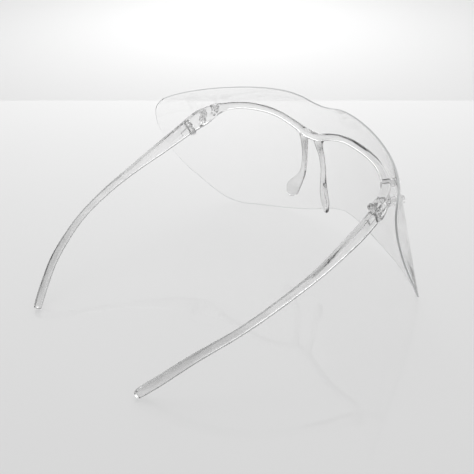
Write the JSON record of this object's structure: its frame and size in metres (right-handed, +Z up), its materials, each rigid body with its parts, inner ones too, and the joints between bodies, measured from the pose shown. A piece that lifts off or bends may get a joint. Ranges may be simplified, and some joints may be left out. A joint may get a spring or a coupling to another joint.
{
  "type": "face shield",
  "caption": "Clear wrap-around face shield worn like spectacles: thin curved sheet riveted to a moulded front, folding temples.",
  "frame": {"origin": "middle of the footprint, on the surface that the shield stands on", "axes": "+Y towards where the wearer looks, +X on the wearer's right, +Z up"},
  "size_m": [0.169, 0.1679, 0.0824],
  "materials": {
    "clear_sheet": "clear, polished, thin sheet",
    "clear_front": "clear moulded plastic, polished",
    "clear_temple": "clear moulded plastic, polished",
    "clear_rivet": "clear moulded plastic push rivet",
    "hinge_pin": "translucent plastic pin"
  },
  "bodies": {
    "front": {"front_frame": "clear_front", "shield_sheet": "clear_sheet", "shield_rivet_front_right": "clear_rivet", "shield_rivet_front_left": "clear_rivet", "shield_rivet_side_right": "clear_rivet", "shield_rivet_side_left": "clear_rivet", "hinge_pin_right": "hinge_pin", "hinge_pin_left": "hinge_pin"},
    "temple_right_body": {"temple_right": "clear_temple"},
    "temple_left_body": {"temple_left": "clear_temple"}
  },
  "joints": [
    {"name": "temple_right_fold", "type": "hinge", "parent": "front", "child": "temple_right_body", "pos_m": [0.0647, 0.0281, 0.057], "axis": [0, 0.4924, -0.8704], "range_deg": [0, 82]},
    {"name": "temple_left_fold", "type": "hinge", "parent": "front", "child": "temple_left_body", "pos_m": [-0.0647, 0.0281, 0.057], "axis": [0, -0.4924, 0.8704], "range_deg": [0, 74]}
  ]
}
